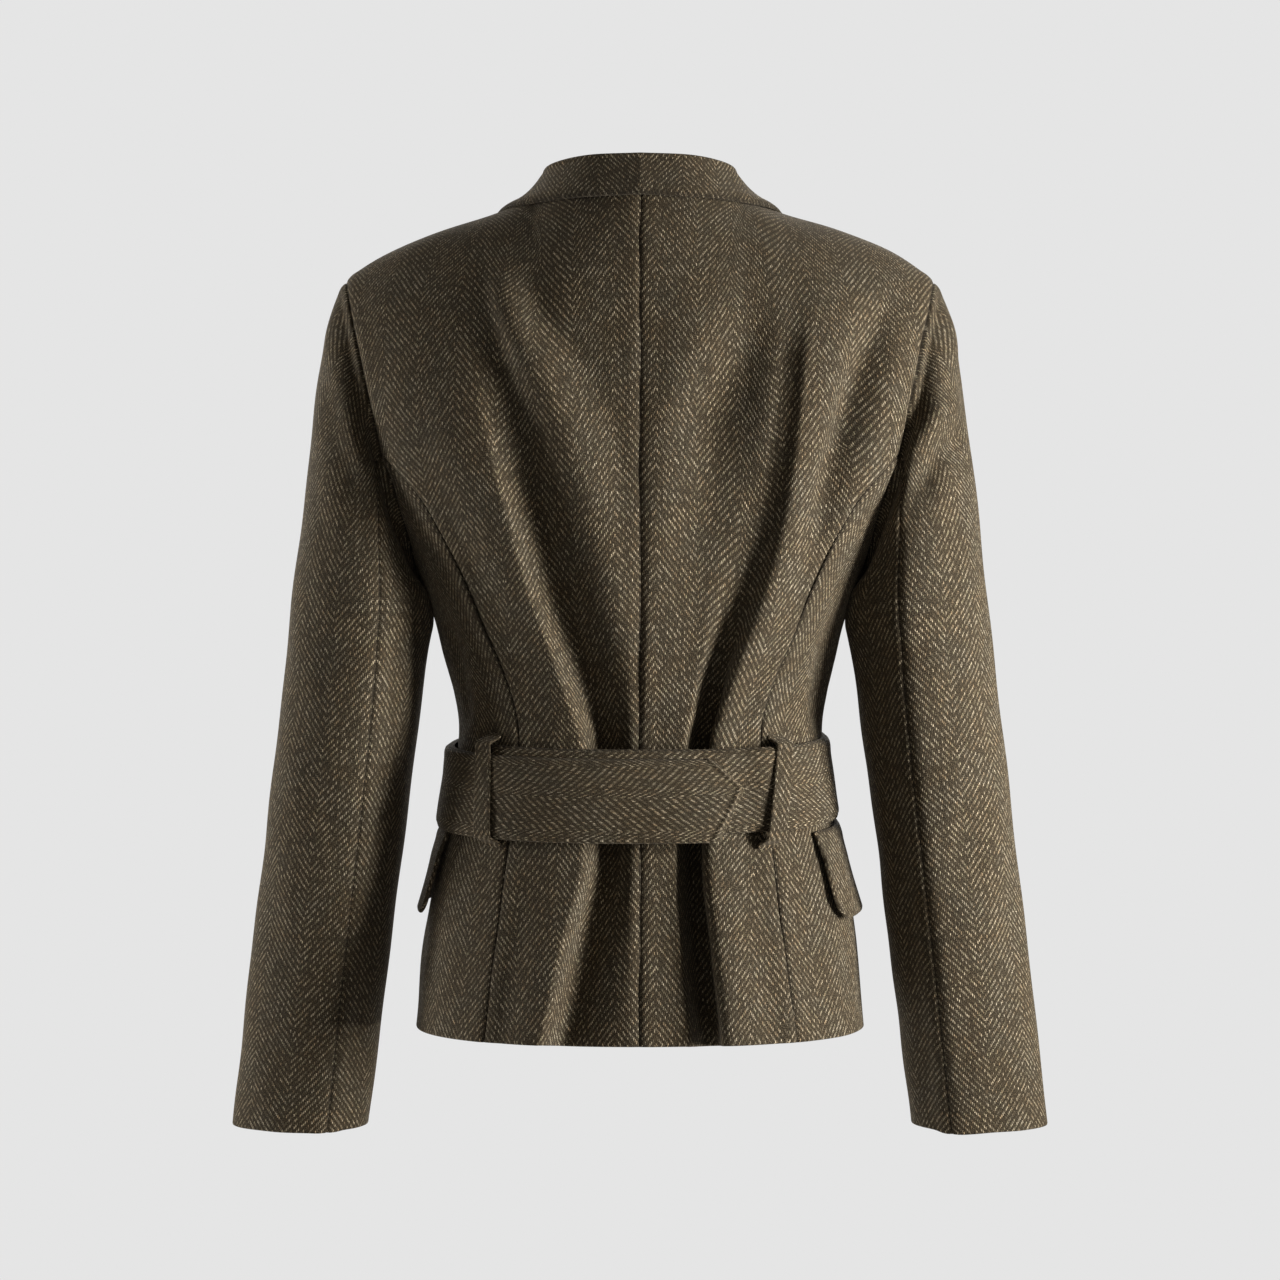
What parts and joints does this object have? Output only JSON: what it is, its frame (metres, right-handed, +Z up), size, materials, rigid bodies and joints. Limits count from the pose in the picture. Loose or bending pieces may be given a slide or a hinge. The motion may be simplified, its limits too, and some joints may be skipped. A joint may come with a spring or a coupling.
{
  "type": "belted blazer",
  "caption": "Belted blazer in herringbone tweed with notch collar, princess seams, two-piece sleeves, flap pockets and a wide pointed self-fabric belt, standing hollow as worn",
  "frame": {"origin": "middle of the neck, level with the points where the shoulder seams meet the collar", "axes": "+Z up along the wearer, +X to the wearer's left, the front faces -Y and the back +Y"},
  "size_m": [0.5784, 0.2555, 0.6778],
  "materials": {
    "herringbone_tweed": "matt woven wool, olive brown with pale herringbone flecks",
    "brown_horn": "polished dark brown horn"
  },
  "bodies": {
    "root": {"back_left": "herringbone_tweed", "back_right": "herringbone_tweed", "side_left": "herringbone_tweed", "side_right": "herringbone_tweed", "front_left": "herringbone_tweed", "front_right": "herringbone_tweed", "lapel_left": "herringbone_tweed", "lapel_right": "herringbone_tweed", "upper_sleeve_left": "herringbone_tweed", "upper_sleeve_right": "herringbone_tweed", "under_sleeve_left": "herringbone_tweed", "under_sleeve_right": "herringbone_tweed", "belt_loop_left": "herringbone_tweed", "belt_loop_right": "herringbone_tweed", "pocket_flap_left": "herringbone_tweed", "pocket_flap_right": "herringbone_tweed", "collar": "herringbone_tweed", "belt": "herringbone_tweed", "button_1": "brown_horn", "button_2": "brown_horn"}
  },
  "joints": []
}
